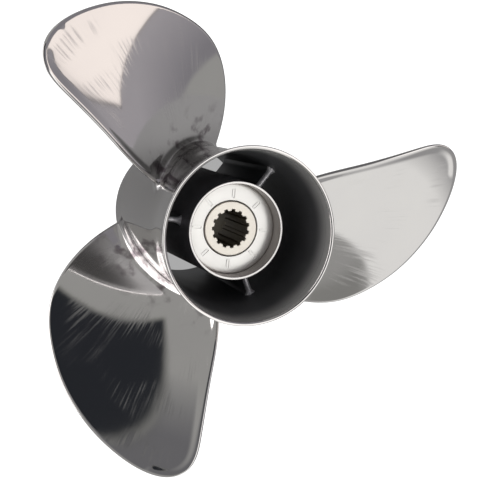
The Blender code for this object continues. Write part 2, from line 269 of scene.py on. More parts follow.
def lay_bench():
    """A white bench top under soft light. The camera sees it glow evenly, as a light table does, but inside the hub's
    footprint its glow is lowered as painted shade; what the steel mirrors is painted light and shade.
    """
    shape = bmesh.new()
    bmesh.ops.create_grid(shape, x_segments=1, y_segments=1, size=BENCH_SIZE / 2)
    mesh = bpy.data.meshes.new("bench_top")
    shape.to_mesh(mesh)
    shape.free()
    bench = bpy.data.objects.new("bench_top", mesh)
    bench.location.z = FORWARD_END
    bpy.context.scene.collection.objects.link(bench)
    material, tree, shader = new_material("bench_white")
    mesh.materials.append(material)
    shader.inputs["Base Color"].default_value = (0.15, 0.15, 0.15, 1)
    shader.inputs["Roughness"].default_value = 0.9
    shader.inputs["Specular IOR Level"].default_value = 0
    shader.inputs["Emission Color"].default_value = (1, 1, 1, 1)
    place = tree.nodes.new("ShaderNodeTexCoord").outputs["Object"]
    parts = tree.nodes.new("ShaderNodeSeparateXYZ")
    tree.links.new(place, parts.inputs[0])
    turn = math_node(tree, "ARCTAN2", parts.outputs["Y"], parts.outputs["X"])
    share = math_node(tree, "ADD", math_node(tree, "DIVIDE", turn, math.tau), 0.5)
    # Painted light and shade in the bench's glow, by azimuth round the hub.
    painted_glow = value_ramp(tree, share, [((azimuth + 180) / 360, value) for azimuth, value in BENCH_PAINTED_LIGHT])
    length = tree.nodes.new("ShaderNodeVectorMath")
    length.operation = "LENGTH"
    tree.links.new(place, length.inputs[0])
    reach = length.outputs["Value"]
    # Painted shade: the glow drops close to the hub.
    painted_glow = mix_value(tree, smooth_share(tree, reach, *BENCH_NEAR), BENCH_NEAR_PAINTED_SHADE, painted_glow)
    painted_shadow_pool = tree.nodes.new("ShaderNodeVectorMath")
    painted_shadow_pool.operation = "DISTANCE"
    tree.links.new(place, painted_shadow_pool.inputs[0])
    painted_shadow_pool.inputs[1].default_value = (*BENCH_PAINTED_SHADOW_POOL, 0)
    # Painted shadow: a dark pool on the bench to one side of the hub.
    painted_glow = mix_value(tree, smooth_share(tree, painted_shadow_pool.outputs["Value"], 0, BENCH_PAINTED_SHADOW_POOL_SIZE), 0.06, painted_glow)
    # Painted shade for the camera: the bench glows less inside the hub's footprint.
    outside = smooth_share(tree, reach, HUB_SHADE_RADIUS, HUB_SHADE_RADIUS * 1.02)
    shown = mix_value(tree, outside, HUB_PAINTED_SHADE_GLOW, BENCH_CAMERA_GLOW)
    seen = tree.nodes.new("ShaderNodeLightPath").outputs["Is Camera Ray"]
    tree.links.new(mix_value(tree, seen, painted_glow, shown), shader.inputs["Emission Strength"])


aim_camera()
light_studio()
lay_bench()

# Exhaust barrel: a turned stainless tube, thickest at its forward end, that flares out behind the blades. Its outside
# is buffed to a mirror, and its inside is left as cast and blackened by exhaust.
HUB_LENGTH = RIM_HEIGHT - FORWARD_END
BARREL_RADIUS = 0.0504
BARREL_WAIST_RADIUS = 0.0508
BARREL_BORE_FORWARD = 0.0467
BARREL_BORE_WAIST = 0.0484
WAIST_HEIGHT = 0.109
RIM_RADIUS = 0.0570
RIM_WALL = 0.0022
LIP_LENGTH = 0.0065
LIP_ROLL = 0.0003
FLARE_EASE = 0.012
TURNED_STEPS = 256


def lerp(start, end, share):
    return start + (end - start) * share


def eased_ramp(height):
    """Rises in proportion past the waist, with a smooth bend there."""
    past = np.asarray(height, float) - WAIST_HEIGHT
    return (past + np.sqrt(past**2 + FLARE_EASE**2)) / 2


RAMP_AT_RIM = float(eased_ramp(HUB_LENGTH))


def barrel_radius(height):
    """Outer radius of the barrel at a height above its forward end."""
    height = np.asarray(height, float)
    taper = BARREL_RADIUS + (BARREL_WAIST_RADIUS - BARREL_RADIUS) * np.minimum(height / WAIST_HEIGHT, 1)
    return taper + (RIM_RADIUS - BARREL_WAIST_RADIUS) * eased_ramp(height) / RAMP_AT_RIM


def barrel_bore(height):
    height = np.asarray(height, float)
    taper = BARREL_BORE_FORWARD + (BARREL_BORE_WAIST - BARREL_BORE_FORWARD) * np.minimum(height / WAIST_HEIGHT, 1)
    return taper + (RIM_RADIUS - RIM_WALL - BARREL_BORE_WAIST) * eased_ramp(height) / RAMP_AT_RIM


def rounded(corner, before, after, radius, steps=6):
    """Points of a rounded profile corner between the directions to its two neighbours."""
    corner, before, after = (np.array(point, float) for point in (corner, before, after))
    start = corner + (before - corner) / np.linalg.norm(before - corner) * radius
    end = corner + (after - corner) / np.linalg.norm(after - corner) * radius
    shares = np.linspace(0, 1, steps)
    return [tuple((1 - t) ** 2 * start + 2 * t * (1 - t) * corner + t**2 * end) for t in shares]


def rounded_profile(corners):
    """A closed profile of (radius, height, rounding) corners, given down its outer side first."""
    points = []
    for number, (radius, height, rounding) in enumerate(corners):
        before = corners[number - 1][:2]
        after = corners[(number + 1) % len(corners)][:2]
        points += rounded((radius, height), before, after, rounding) if rounding else [(radius, height)]
    return points


def turned(name, profile, base=FORWARD_END, steps=TURNED_STEPS):
    """A piece turned about the shaft axis, with heights counted from the hub's forward end."""
    shape = bmesh.new()
    count = len(profile)
    rings = []
    for step in range(steps):
        turn = math.tau * step / steps
        cos, sin = math.cos(turn), math.sin(turn)
        rings.append([shape.verts.new((r * cos, r * sin, h + base)) for r, h in profile])
    for step in range(steps):
        near, far = rings[step], rings[(step + 1) % steps]
        for k in range(count):
            n = (k + 1) % count
            shape.faces.new((near[k], near[n], far[n], far[k]))
    bmesh.ops.recalc_face_normals(shape, faces=shape.faces)
    mesh = bpy.data.meshes.new(name)
    shape.to_mesh(mesh)
    shape.free()
    mesh.shade_smooth()
    mesh.set_sharp_from_angle(angle=math.radians(50))
    piece = bpy.data.objects.new(name, mesh)
    bpy.context.scene.collection.objects.link(piece)
    return piece


def seat(piece, slot, *nodes):
    """Ties a finished piece to the propeller and to the plain nodes that it stands for."""
    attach(piece, "root")
    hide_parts(*nodes)


def polish_group():
    """Hand polishing: slow waves left by the wheel, brush marks in patches along its strokes, and faint clouding."""
    group = bpy.data.node_groups.new("hand_polish", "ShaderNodeTree")
    for name in ("Place", "Stretch"):
        group.interface.new_socket(name, in_out="INPUT", socket_type="NodeSocketVector")
    for name in ("Wave height", "Brush height"):
        group.interface.new_socket(name, in_out="INPUT", socket_type="NodeSocketFloat")
    for name in ("Height", "Brush", "Clouds"):
        group.interface.new_socket(name, in_out="OUTPUT", socket_type="NodeSocketFloat")
    given = group.nodes.new("NodeGroupInput").outputs

    def noise(place, scale, detail):
        node = group.nodes.new("ShaderNodeTexNoise")
        group.links.new(place, node.inputs["Vector"])
        node.inputs["Scale"].default_value = scale
        node.inputs["Detail"].default_value = detail
        return node.outputs["Fac"]

    strokes = noise(vector_node(group, "MULTIPLY", given["Place"], given["Stretch"]), 1, 2)
    patches = smooth_share(group, noise(given["Place"], 30, 1), 0.46, 0.62)
    waves = math_node(group, "MULTIPLY", noise(given["Place"], 38, 1), given["Wave height"])
    height = math_node(group, "MULTIPLY_ADD", strokes, given["Brush height"])
    group.links.new(waves, height.node.inputs[2])
    brush = math_node(group, "MULTIPLY", smooth_share(group, strokes, 0.42, 0.68), patches)
    out = group.nodes.new("NodeGroupOutput")
    for name, value in (("Height", height), ("Brush", brush), ("Clouds", noise(given["Place"], 22, 4))):
        group.links.new(value, out.inputs[name])
    return group


HAND_POLISH = polish_group()
STEEL_COLOR = (0.62, 0.605, 0.595)
STEEL_CLOUD_COLOR = (0.56, 0.545, 0.55)
BARREL_STRETCH = (40, 40, 900)
MILLIMETRE = 0.001


def polished_steel(name, place, stretch, roughness=0.045, wave_height=0.05, brush_height=0.002, brush_blur=0.12):
    """Buffed stainless steel, a nearly clean mirror. The heights of its waves and brush marks are in millimetres."""
    material, tree, shader = new_material(name)
    shader.inputs["Metallic"].default_value = 1
    polish = tree.nodes.new("ShaderNodeGroup")
    polish.node_tree = HAND_POLISH
    tree.links.new(place(tree), polish.inputs["Place"])
    polish.inputs["Stretch"].default_value = stretch
    polish.inputs["Wave height"].default_value = wave_height
    polish.inputs["Brush height"].default_value = brush_height
    tree.links.new(mix_color(tree, polish.outputs["Clouds"], STEEL_COLOR, STEEL_CLOUD_COLOR), shader.inputs["Base Color"])
    worn = math_node(tree, "MULTIPLY_ADD", polish.outputs["Clouds"], 0.03)
    worn.node.inputs[2].default_value = roughness
    worn = math_node(tree, "MULTIPLY_ADD", polish.outputs["Brush"], brush_blur)
    tree.links.new(tree.nodes[-2].outputs[0], worn.node.inputs[2])
    tree.links.new(worn, shader.inputs["Roughness"])
    relief = tree.nodes.new("ShaderNodeBump")
    relief.inputs["Distance"].default_value = MILLIMETRE
    tree.links.new(polish.outputs["Height"], relief.inputs["Height"])
    tree.links.new(relief.outputs[0], shader.inputs["Normal"])
    return material, tree, shader


def own_place(tree):
    return tree.nodes.new("ShaderNodeTexCoord").outputs["Object"]


def cast_steel(name, dark, light, roughness):
    """Steel left as cast under a thin layer of soot, with fine grain."""
    material, tree, shader = new_material(name)
    place = own_place(tree)
    clouds = tree.nodes.new("ShaderNodeTexNoise")
    clouds.inputs["Scale"].default_value = 70
    clouds.inputs["Detail"].default_value = 6
    tree.links.new(place, clouds.inputs["Vector"])
    grain = tree.nodes.new("ShaderNodeTexNoise")
    grain.inputs["Scale"].default_value = 1400
    grain.inputs["Detail"].default_value = 2
    tree.links.new(place, grain.inputs["Vector"])
    color = mix_color(tree, clouds.outputs["Fac"], dark, light)
    tree.links.new(color, shader.inputs["Base Color"])
    shader.inputs["Metallic"].default_value = 0.5
    dull = math_node(tree, "MULTIPLY_ADD", clouds.outputs["Fac"], 0.15)
    dull.node.inputs[2].default_value = roughness
    tree.links.new(dull, shader.inputs["Roughness"])
    relief = tree.nodes.new("ShaderNodeBump")
    relief.inputs["Strength"].default_value = 0.3
    relief.inputs["Distance"].default_value = 0.1 * MILLIMETRE
    tree.links.new(grain.outputs["Fac"], relief.inputs["Height"])
    tree.links.new(relief.outputs[0], shader.inputs["Normal"])
    return material, tree, shader, color


def passage_steel():
    """The exhaust passage: sooted dark, with painted light that turns it grey along the last stretch before the rim,
    where light falls in.
    """
    material, tree, shader, color = cast_steel("sooted_passage_steel", (0.10, 0.102, 0.11), (0.16, 0.16, 0.17), 0.42)
    parts = tree.nodes.new("ShaderNodeSeparateXYZ")
    tree.links.new(own_place(tree), parts.inputs[0])
    # Painted light: the passage is coloured lighter towards the rim, where light falls in.
    rim_painted_light = smooth_share(tree, parts.outputs["Z"], RIM_HEIGHT - 0.020, RIM_HEIGHT - 0.003)
    tree.links.new(mix_color(tree, rim_painted_light, color, (0.42, 0.42, 0.42)), shader.inputs["Base Color"])
    return material


BARREL_STEEL = polished_steel("polished_barrel_steel", own_place, BARREL_STRETCH)[0]
PASSAGE_STEEL = passage_steel()


def make_barrel():
    top = HUB_LENGTH - LIP_LENGTH - 0.0001
    outer = [(float(barrel_radius(h)), h) for h in np.linspace(top - 0.0004, 0.0012, 48)]
    crease = [(float(barrel_radius(top)) - 0.0003, top)]
    front = rounded((BARREL_RADIUS, 0), (BARREL_RADIUS, 0.01), (BARREL_BORE_FORWARD, 0), 0.0012)
    front += rounded((BARREL_BORE_FORWARD, 0), (BARREL_RADIUS, 0), (BARREL_BORE_FORWARD, 0.01), 0.0006)
    inner = [(float(barrel_bore(h)), h) for h in np.linspace(0.0008, top, 40)]
    barrel = turned("barrel_shell", crease + outer + front + inner)
    barrel.data.materials.append(BARREL_STEEL)
    barrel.data.materials.append(PASSAGE_STEEL)
    for face in barrel.data.polygons:
        reach = math.hypot(face.center.x, face.center.y)
        height = face.center.z - FORWARD_END
        face.material_index = int(reach < float(barrel_bore(height)) + 0.0006 and height > 0.0008)
    seat(barrel, "polished_steel", "barrel")


def make_lip():
    """The rolled band at the rim: its edge is rounded over and a fine crease parts it from the flare."""
    foot = HUB_LENGTH - LIP_LENGTH
    outer, inner = RIM_RADIUS + LIP_ROLL, RIM_RADIUS - RIM_WALL
    corners = [
        (outer, HUB_LENGTH, 0.0007),
        (float(barrel_radius(foot)) + LIP_ROLL, foot, 0.0003),
        (float(barrel_bore(foot)), foot, 0),
        (inner, HUB_LENGTH, 0.0014),
    ]
    lip = turned("flare_lip_band", rounded_profile(corners))
    lip.data.materials.append(BARREL_STEEL)
    lip.data.materials.append(PASSAGE_STEEL)
    for face in lip.data.polygons:
        reach = math.hypot(face.center.x, face.center.y)
        height = face.center.z - FORWARD_END
        face.material_index = int(reach < float(barrel_bore(height)) + 0.0003 and height < HUB_LENGTH - 0.0010)
    seat(lip, "polished_steel", "flare_lip")


make_barrel()
make_lip()

# Blades: three swept stainless castings with a helical working face that looks aft, thin rounded edges and a broad
# fillet, ground and buffed by hand, that runs them into the barrel.
BLADE_COUNT = 3
FIRST_RIB_ANGLE = math.radians(30)
TIP_ANGLE = FIRST_RIB_ANGLE - math.radians(38.7)
FACE_RADIUS = 0.0563
FACE_HEIGHT = HUB_LENGTH - 0.0690
FACE_PITCH = 0.348
PITCH_GROWTH = 0.910
RAKE_SLOPE = 0.453
RAKE_EASING = 1.647
BLADE_THICKNESS = 0.0085
EDGE_THICKNESS = 0.0024
EDGE_ROUND = 0.0021
CUP_START = 0.0072
CUP_END = 0.0022
CUP_HEIGHT = 0.00040
FILLET_MIDDLE = 0.0105
FILLET_TRAILING = 0.0062
FILLET_LEADING = 0.0042
BLADE_OUTLINE = (
    (0.0440, 15.6),
    (0.0673, 14.7),
    (0.1046, 11.0),
    (0.1401, 9.4),
    (0.1616, 7.4),
    (0.1664, 5.8),
    (0.1659, -10.6),
    (0.1586, -18.8),
    (0.1493, -27.2),
    (0.1393, -34.7),
    (0.1247, -43.9),
    (0.0754, -60.0),
    (0.0438, -69.0),
)
BLADE_COLUMNS = 80
BLADE_ROWS = 90
FILLET_ROWS = 14


def smooth_curve(points, count):
    """Evenly spaced points on the natural cubic spline through the given ones."""
    points = np.array(points)
    places = np.concatenate([[0], np.cumsum(np.linalg.norm(np.diff(points, axis=0), axis=1))])
    steps = np.diff(places)[:, None]
    slopes = np.diff(points, axis=0) / steps
    system = np.eye(len(points))
    bends = np.zeros_like(points)
    for knot in range(1, len(points) - 1):
        before, after = steps[knot - 1, 0], steps[knot, 0]
        system[knot, knot - 1 : knot + 2] = before, 2 * (before + after), after
        bends[knot] = 6 * (slopes[knot] - slopes[knot - 1])
    bends = np.linalg.solve(system, bends)
    fine = np.linspace(0, places[-1], 8 * count)
    knot = np.clip(np.searchsorted(places, fine) - 1, 0, len(points) - 2)
    step = steps[knot]
    left = (places[knot + 1] - fine)[:, None]
    right = (fine - places[knot])[:, None]
    run = (bends[knot] * left**3 + bends[knot + 1] * right**3) / (6 * step)
    run += (points[knot] / step - bends[knot] * step / 6) * left
    run += (points[knot + 1] / step - bends[knot + 1] * step / 6) * right
    travelled = np.concatenate([[0], np.cumsum(np.linalg.norm(np.diff(run, axis=0), axis=1))])
    even = np.linspace(0, travelled[-1], count)
    return np.stack([np.interp(even, travelled, run[:, side]) for side in (0, 1)], axis=1)


def outline_edges():
    """Trailing and leading edge, each from inside the hub out to the tip, as rows of radius and angle."""
    corners = [(r * math.cos(math.radians(a)), r * math.sin(math.radians(a))) for r, a in BLADE_OUTLINE]
    flat = smooth_curve(corners, 3000)
    outline = np.stack([np.hypot(flat[:, 0], flat[:, 1]), np.arctan2(flat[:, 1], flat[:, 0])], axis=1)
    tip = outline[:, 0].argmax()
    return outline[: tip + 1], outline[: tip - 1 : -1]


TRAILING, LEADING = outline_edges()


def on_edge(edge, travel):
    place = travel * (len(edge) - 1)
    return [np.interp(place, np.arange(len(edge)), edge[:, side]) for side in (0, 1)]


def across_at(radius, angle):
    """How far across the blade a point lies, from 0 at the trailing edge to 1 at the leading edge."""
    start = np.interp(radius, TRAILING[:, 0], TRAILING[:, 1])
    end = np.interp(radius, LEADING[:, 0], LEADING[:, 1])
    return np.clip((start - angle) / np.maximum(start - end, 1e-4), 0, 1)


def face_height(radius, angle):
    out = radius - FACE_RADIUS
    helix = angle * (FACE_PITCH + PITCH_GROWTH * out) / math.tau
    rake = RAKE_SLOPE * out - RAKE_EASING * out**2
    return FACE_HEIGHT + FORWARD_END + helix + rake


def face_points(radius, angle):
    return np.stack([radius * np.cos(angle), radius * np.sin(angle), face_height(radius, angle)], axis=-1)


def face_normals(radius, angle):
    step = 1e-4
    slope = (face_height(radius + step, angle) - face_height(radius - step, angle)) / (2 * step)
    climb = (face_height(radius, angle + step) - face_height(radius, angle - step)) / (2 * step)
    cos, sin = np.cos(angle), np.sin(angle)
    normal = np.stack([sin * climb - radius * cos * slope, -radius * sin * slope - cos * climb, radius], axis=-1)
    return normal / np.linalg.norm(normal, axis=-1, keepdims=True)


def edge_line(edge):
    """An edge of the face as a run of points, with a tree that finds the nearest of them."""
    points = face_points(edge[::3, 0], edge[::3, 1])
    tree = KDTree(len(points))
    for number, point in enumerate(points):
        tree.insert(point, number)
    tree.balance()
    return points, tree


TRAILING_LINE = edge_line(TRAILING)
LEADING_LINE = edge_line(LEADING)


def gap_to(line, places):
    """Distance from each place to an edge of the face, measured to its nearest stretch."""
    points, tree = line
    flat = places.reshape(-1, 3)
    nearest = np.array([tree.find(place)[1] for place in flat])
    gaps = np.full(len(flat), np.inf)
    for step in (-1, 0):
        start = points[np.clip(nearest + step, 0, len(points) - 2)]
        run = points[np.clip(nearest + step, 0, len(points) - 2) + 1] - start
        share = np.clip(((flat - start) * run).sum(-1) / (run**2).sum(-1), 0, 1)
        gaps = np.minimum(gaps, np.linalg.norm(start + share[:, None] * run - flat, axis=-1))
    return gaps.reshape(places.shape[:-1])


def blade_points(across, travel, side):
    """Points of the aft skin (side 1) or the forward skin (side -1) of a blade whose tip lies along +X."""
    ends = on_edge(TRAILING, travel), on_edge(LEADING, travel)
    radius, angle = (lerp(start, end, across) for start, end in zip(*ends))
    face = face_points(radius, angle)
    normal = face_normals(radius, angle)
    thinning = 1 - 0.75 * np.clip((radius - BARREL_RADIUS) / (TRAILING[-1, 0] - BARREL_RADIUS), 0, 1)
    chord = across_at(radius, angle)
    full = EDGE_THICKNESS + (BLADE_THICKNESS * thinning - EDGE_THICKNESS) * (4 * chord * (1 - chord)) ** 0.8
    half = np.maximum(full, EDGE_THICKNESS) / 2
    to_trailing = gap_to(TRAILING_LINE, face)
    gap = np.minimum(to_trailing, gap_to(LEADING_LINE, face))
    inside = np.clip(gap / EDGE_ROUND, 0, 1)
    edge_half = np.minimum(half, EDGE_THICKNESS / 2 + 0.25 * gap)
    swell = edge_half * np.sqrt(1 - (1 - inside) ** 2)
    curl = np.clip((CUP_START - to_trailing) / (CUP_START - CUP_END), 0, 1)
    curl = CUP_HEIGHT * curl**2 * (3 - 2 * curl) * np.clip((1 - travel) / 0.12, 0, 1)
    return face + (curl - half + side * swell)[..., None] * normal


def on_barrel(turn, height, sink=0.0):
    """Point on the barrel's outer surface, from its angle and its height above the forward end."""
    radius = barrel_radius(height) - sink
    return np.stack([radius * np.cos(turn), radius * np.sin(turn), height + FORWARD_END], axis=-1)


def blade_grid():
    """Rings of points from the fillet's foot on the barrel out to the tip, each ring running round the blade."""
    turn = np.pi * np.arange(BLADE_COLUMNS + 1) / BLADE_COLUMNS
    shares = (1 - np.cos(turn)) / 2
    across = np.concatenate([shares, shares[-2:0:-1]])
    side = np.concatenate([np.ones(BLADE_COLUMNS + 1), -np.ones(BLADE_COLUMNS - 1)])
    fine = 1 - (1 - np.linspace(0, 1, 260)) ** 1.5
    columns = blade_points(across[:, None] * np.ones_like(fine), fine * np.ones_like(across)[:, None], side[:, None])
    outside = np.hypot(columns[..., 0], columns[..., 1]) - barrel_radius(columns[..., 2] - FORWARD_END)
    lengths = np.linalg.norm(np.diff(columns, axis=1), axis=-1)
    travelled = np.concatenate([np.zeros((len(across), 1)), np.cumsum(lengths, axis=1)], axis=1)
    foot_at = np.array([np.interp(0, row, run) for row, run in zip(outside, travelled)])
    fillet = lerp(FILLET_TRAILING, FILLET_LEADING, across)
    fillet += (FILLET_MIDDLE - fillet) * (4 * across * (1 - across)) ** 0.6
    start = foot_at + fillet
    rows = 1 - (1 - np.linspace(0, 1, BLADE_ROWS)) ** 1.35
    wanted = start[:, None] + (travelled[:, -1] - start)[:, None] * rows
    share = np.stack([np.interp(row, run, fine) for row, run in zip(wanted, travelled)])
    skin = blade_points(across[:, None] * np.ones_like(share), share, side[:, None])
    foot_share = np.array([np.interp(at, run, fine) for at, run in zip(foot_at, travelled)])
    foot = blade_points(across, foot_share, side)
    foot_turn = np.unwrap(np.arctan2(foot[:, 1], foot[:, 0]))
    flat = np.stack([foot_turn * BARREL_RADIUS, foot[:, 2] - FORWARD_END], axis=1)
    along = np.roll(flat, -1, axis=0) - np.roll(flat, 1, axis=0)
    outward = np.stack([-along[:, 1], along[:, 0]], axis=1) / np.linalg.norm(along, axis=1, keepdims=True)
    if (outward * (flat - flat.mean(axis=0))).sum() < 0:
        outward = -outward
    end = flat + outward * fillet[:, None]
    near_end = flat + outward * fillet[:, None] * 0.9
    landing = on_barrel(end[:, 0] / BARREL_RADIUS, end[:, 1], 0.00006)
    before_landing = on_barrel(near_end[:, 0] / BARREL_RADIUS, near_end[:, 1], 0.00006)
    leave = skin[:, 1] - skin[:, 0]
    leave /= np.linalg.norm(leave, axis=1, keepdims=True)
    land = landing - before_landing
    land /= np.linalg.norm(land, axis=1, keepdims=True)
    pull = 0.62 * fillet[:, None]
    knots = landing, landing - land * pull, skin[:, 0] - leave * pull, skin[:, 0]
    sweep = []
    for t in np.linspace(0, 1, FILLET_ROWS, endpoint=False):
        weights = (1 - t) ** 3, 3 * t * (1 - t) ** 2, 3 * t**2 * (1 - t), t**3
        sweep.append(sum(weight * knot for weight, knot in zip(weights, knots)))
    return np.concatenate([np.stack(sweep), skin.transpose(1, 0, 2)])


def blade_mesh():
    grid = blade_grid()
    rings, around = grid.shape[:2]
    shape = bmesh.new()
    near_root = shape.verts.layers.float.new("near_root")
    verts = []
    for number, ring in enumerate(grid):
        verts.append([shape.verts.new(point) for point in ring])
        for vert in verts[-1]:
            vert[near_root] = max(0.0, 1 - max(0, number - FILLET_ROWS) / ROOT_FADE_ROWS)
    for near, far in zip(verts, verts[1:]):
        for k in range(around):
            n = (k + 1) % around
            shape.faces.new((near[k], near[n], far[n], far[k]))
    base = verts[0]
    for k in range(1, BLADE_COLUMNS):
        n = k + 1
        opposite, next_opposite = base[-k], base[-n] if n < BLADE_COLUMNS else None
        if next_opposite is None:
            shape.faces.new((base[k], base[n], opposite))
        else:
            shape.faces.new((base[k], base[n], next_opposite, opposite))
    shape.faces.new((base[0], base[1], base[-1]))
    bmesh.ops.remove_doubles(shape, verts=shape.verts, dist=1e-6)
    bmesh.ops.recalc_face_normals(shape, faces=shape.faces)
    mesh = bpy.data.meshes.new("blade")
    shape.to_mesh(mesh)
    shape.free()
    mesh.shade_smooth()
    places = np.empty(3 * len(mesh.vertices), np.float32)
    mesh.vertices.foreach_get("co", places)
    mesh.attributes.new("blade_place", "FLOAT_VECTOR", "POINT").data.foreach_set("vector", places)
    return mesh


def polar_group():
    """Turns a blade's own coordinates into distance round the shaft and distance from it, so that strokes follow its span."""
    group = bpy.data.node_groups.new("polar_place", "ShaderNodeTree")
    group.interface.new_socket("Vector", in_out="INPUT", socket_type="NodeSocketVector")
    group.interface.new_socket("Place", in_out="OUTPUT", socket_type="NodeSocketVector")
    parts = group.nodes.new("ShaderNodeSeparateXYZ")
    group.links.new(group.nodes.new("NodeGroupInput").outputs["Vector"], parts.inputs[0])
    turn = math_node(group, "ARCTAN2", parts.outputs["Y"], parts.outputs["X"])
    squares = [math_node(group, "MULTIPLY", parts.outputs[axis], parts.outputs[axis]) for axis in "XY"]
    joined = group.nodes.new("ShaderNodeCombineXYZ")
    group.links.new(math_node(group, "MULTIPLY", turn, 0.1), joined.inputs["X"])
    group.links.new(math_node(group, "SQRT", math_node(group, "ADD", *squares)), joined.inputs["Y"])
    group.links.new(joined.outputs[0], group.nodes.new("NodeGroupOutput").inputs["Place"])
    return group


POLAR_PLACE = polar_group()
BLADE_STRETCH = (850, 22, 0)


def blade_place(tree):
    """Place on a blade before it was turned to its station round the barrel."""
    node = tree.nodes.new("ShaderNodeAttribute")
    node.attribute_name = "blade_place"
    return node.outputs["Vector"]


def span_place(tree):
    node = tree.nodes.new("ShaderNodeGroup")
    node.node_tree = POLAR_PLACE
    tree.links.new(blade_place(tree), node.inputs["Vector"])
    return node.outputs["Place"]


def blade_steel():
    """Blade polish, with dark patches of painted shade in the fillet round the root."""
    material, tree, shader = polished_steel("polished_blade_steel", span_place, BLADE_STRETCH, brush_blur=0.2)
    clean = shader.inputs["Base Color"].links[0].from_socket
    root = tree.nodes.new("ShaderNodeAttribute")
    root.attribute_name = "near_root"
    root_shade_patches = tree.nodes.new("ShaderNodeTexNoise")
    root_shade_patches.inputs["Scale"].default_value = 85
    root_shade_patches.inputs["Detail"].default_value = 3
    tree.links.new(blade_place(tree), root_shade_patches.inputs["Vector"])
    # Painted shade: dark patches in the root fillet, fading out along the blade.
    share = math_node(tree, "MULTIPLY", smooth_share(tree, root_shade_patches.outputs["Fac"], 0.5, 0.72), root.outputs["Fac"])
    tree.links.new(mix_color(tree, share, clean, ROOT_PAINTED_SHADE_COLOR), shader.inputs["Base Color"])
    return material


# Colour of the painted shade in the root fillet.
ROOT_PAINTED_SHADE_COLOR = (0.17, 0.14, 0.155)
ROOT_FADE_ROWS = 10
BLADE_STEEL = blade_steel()


def make_blades():
    mesh = blade_mesh()
    mesh.materials.append(BLADE_STEEL)
    for number in range(1, BLADE_COUNT + 1):
        blade = bpy.data.objects.new(f"blade_{number}_finished", mesh.copy())
        station = TIP_ANGLE + (number - 1) * math.tau / BLADE_COUNT
        blade.data.transform(Matrix.Rotation(station, 4, "Z"))
        bpy.context.scene.collection.objects.link(blade)
        seat(blade, "polished_steel", f"blade_{number}")


make_blades()

# Inner hub tube and its three ribs: the tube is machined bright at its aft edge, and the rest of it and the ribs stay
# as cast, blackened by exhaust. The ribs' rounded aft edges are coloured pale, a painted highlight.
TUBE_FORWARD = 0.012
TUBE_AFT = 0.1247
TUBE_RADIUS_FORWARD = 0.0338
TUBE_RADIUS_AFT = 0.0322
TUBE_BORE = 0.0304
RIB_FORWARD = 0.017
RIB_AFT = 0.107
RIB_THICKNESS = 0.004


def tube_radius(height):
    return lerp(TUBE_RADIUS_FORWARD, TUBE_RADIUS_AFT, (height - TUBE_FORWARD) / (TUBE_AFT - TUBE_FORWARD))


MACHINED_STEEL = polished_steel("machined_edge_steel", own_place, BARREL_STRETCH, roughness=0.2, brush_height=0.004)[0]
TUBE_STEEL = cast_steel("sooted_tube_steel", (0.26, 0.25, 0.27), (0.34, 0.33, 0.35), 0.4)[0]
BORE_STEEL = cast_steel("brown_bore_steel", (0.50, 0.46, 0.44), (0.62, 0.58, 0.55), 0.32)[0]


def make_tube():
    corners = [
        (TUBE_RADIUS_AFT, TUBE_AFT, 0.0003),
        (tube_radius(0.08), 0.08, 0),
        (tube_radius(0.04), 0.04, 0),
        (TUBE_RADIUS_FORWARD, TUBE_FORWARD, 0.0006),
        (TUBE_BORE, TUBE_FORWARD, 0.0004),
        (TUBE_BORE, TUBE_AFT - 0.0008, 0),
        (TUBE_BORE + 0.0003, TUBE_AFT, 0.0002),
    ]
    tube = turned("inner_hub_tube_cast", rounded_profile(corners))
    for material in (TUBE_STEEL, MACHINED_STEEL, BORE_STEEL):
        tube.data.materials.append(material)
    for face in tube.data.polygons:
        reach = math.hypot(face.center.x, face.center.y)
        height = face.center.z - FORWARD_END
        if height > TUBE_AFT - 0.0003:
            face.material_index = 1
        elif reach < TUBE_BORE + 0.0006:
            face.material_index = 2
    seat(tube, "cast_steel", "inner_hub_tube")


